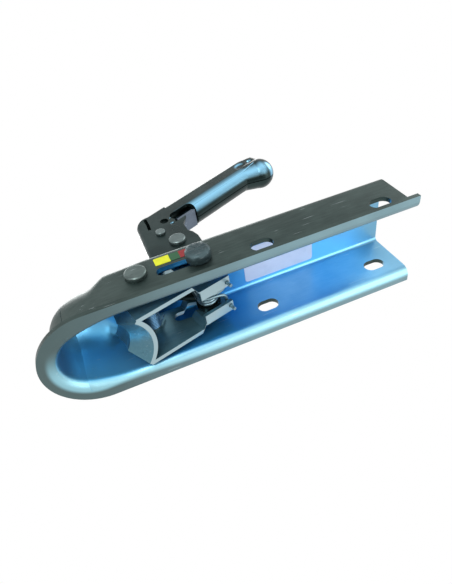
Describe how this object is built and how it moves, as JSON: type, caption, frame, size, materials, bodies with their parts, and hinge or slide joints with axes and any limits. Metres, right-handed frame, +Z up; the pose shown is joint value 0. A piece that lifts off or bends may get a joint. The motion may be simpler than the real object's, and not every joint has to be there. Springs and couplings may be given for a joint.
{
  "type": "trailer coupling head",
  "caption": "Pressed-steel trailer coupling head for a square drawbar, with a ball socket, a hinged clamp, a raised locking handle with a safety trigger and a sliding indicator.",
  "frame": {"origin": "on the tow ball's upright axis, in the plane of the underside of the lips", "axes": "+X forward over the tow ball, +Y left, +Z up towards the handle"},
  "size_m": [0.3108, 0.0872, 0.2052],
  "materials": {
    "zinc_dark": "satin zinc",
    "steel": "bright zinc",
    "spring_steel": "bare",
    "strip": "printed film in yellow, green and red fields",
    "white_label": "plain film"
  },
  "bodies": {
    "frame": {"housing": "zinc_dark", "clamp_pivot_rivet": "steel", "pivot_tube": "steel", "pivot_spacer_left": "steel", "pivot_spacer_right": "steel", "clamp_spring": "spring_steel", "indicator_label": "strip", "web_label": "white_label"},
    "axle": {"indicator_axle": "zinc_dark", "axle_washer_left": "steel", "axle_washer_right": "steel", "axle_end_ring": "steel", "handle_washer_left": "steel", "handle_washer_right": "steel", "axle_sleeve": "steel"},
    "lever": {"handle": "zinc_dark", "trigger_rivet": "steel", "trigger_spacer_left": "steel", "trigger_spacer_right": "steel", "trigger_spring": "spring_steel", "stop_rivet": "steel", "stop_sleeve": "steel", "closing_spring": "spring_steel"},
    "trigger": {"safety_trigger": "steel"},
    "clamp": {"ball_clamp": "steel"}
  },
  "joints": [
    {"name": "axle_slide", "type": "slide", "parent": "frame", "child": "axle", "axis": [1, 0, 0], "range_m": [0, 0.0262]},
    {"name": "handle_pivot", "type": "hinge", "parent": "axle", "child": "lever", "pos_m": [-0.096, 0, 0.0285], "axis": [0, -1, 0], "range_deg": [0, 25]},
    {"name": "clamp_hinge", "type": "hinge", "parent": "frame", "child": "clamp", "pos_m": [-0.0476, 0, 0.0343], "axis": [0, -1, 0], "range_deg": [0, 15.1], "deforming": ["closing_spring"]},
    {"name": "trigger_pivot", "type": "hinge", "parent": "lever", "child": "trigger", "pos_m": [-0.093, 0, 0.09], "axis": [0, 1, 0], "range_deg": [0, 8], "stiffness_Nm_per_rad": 0.4, "springref_deg": -20.05}
  ],
  "couplings": [
    {"joint": "axle_slide", "follows": "handle_pivot", "m_per_rad": 0.059588},
    {"joint": "clamp_hinge", "follows": "handle_pivot", "ratio": 0.6}
  ]
}
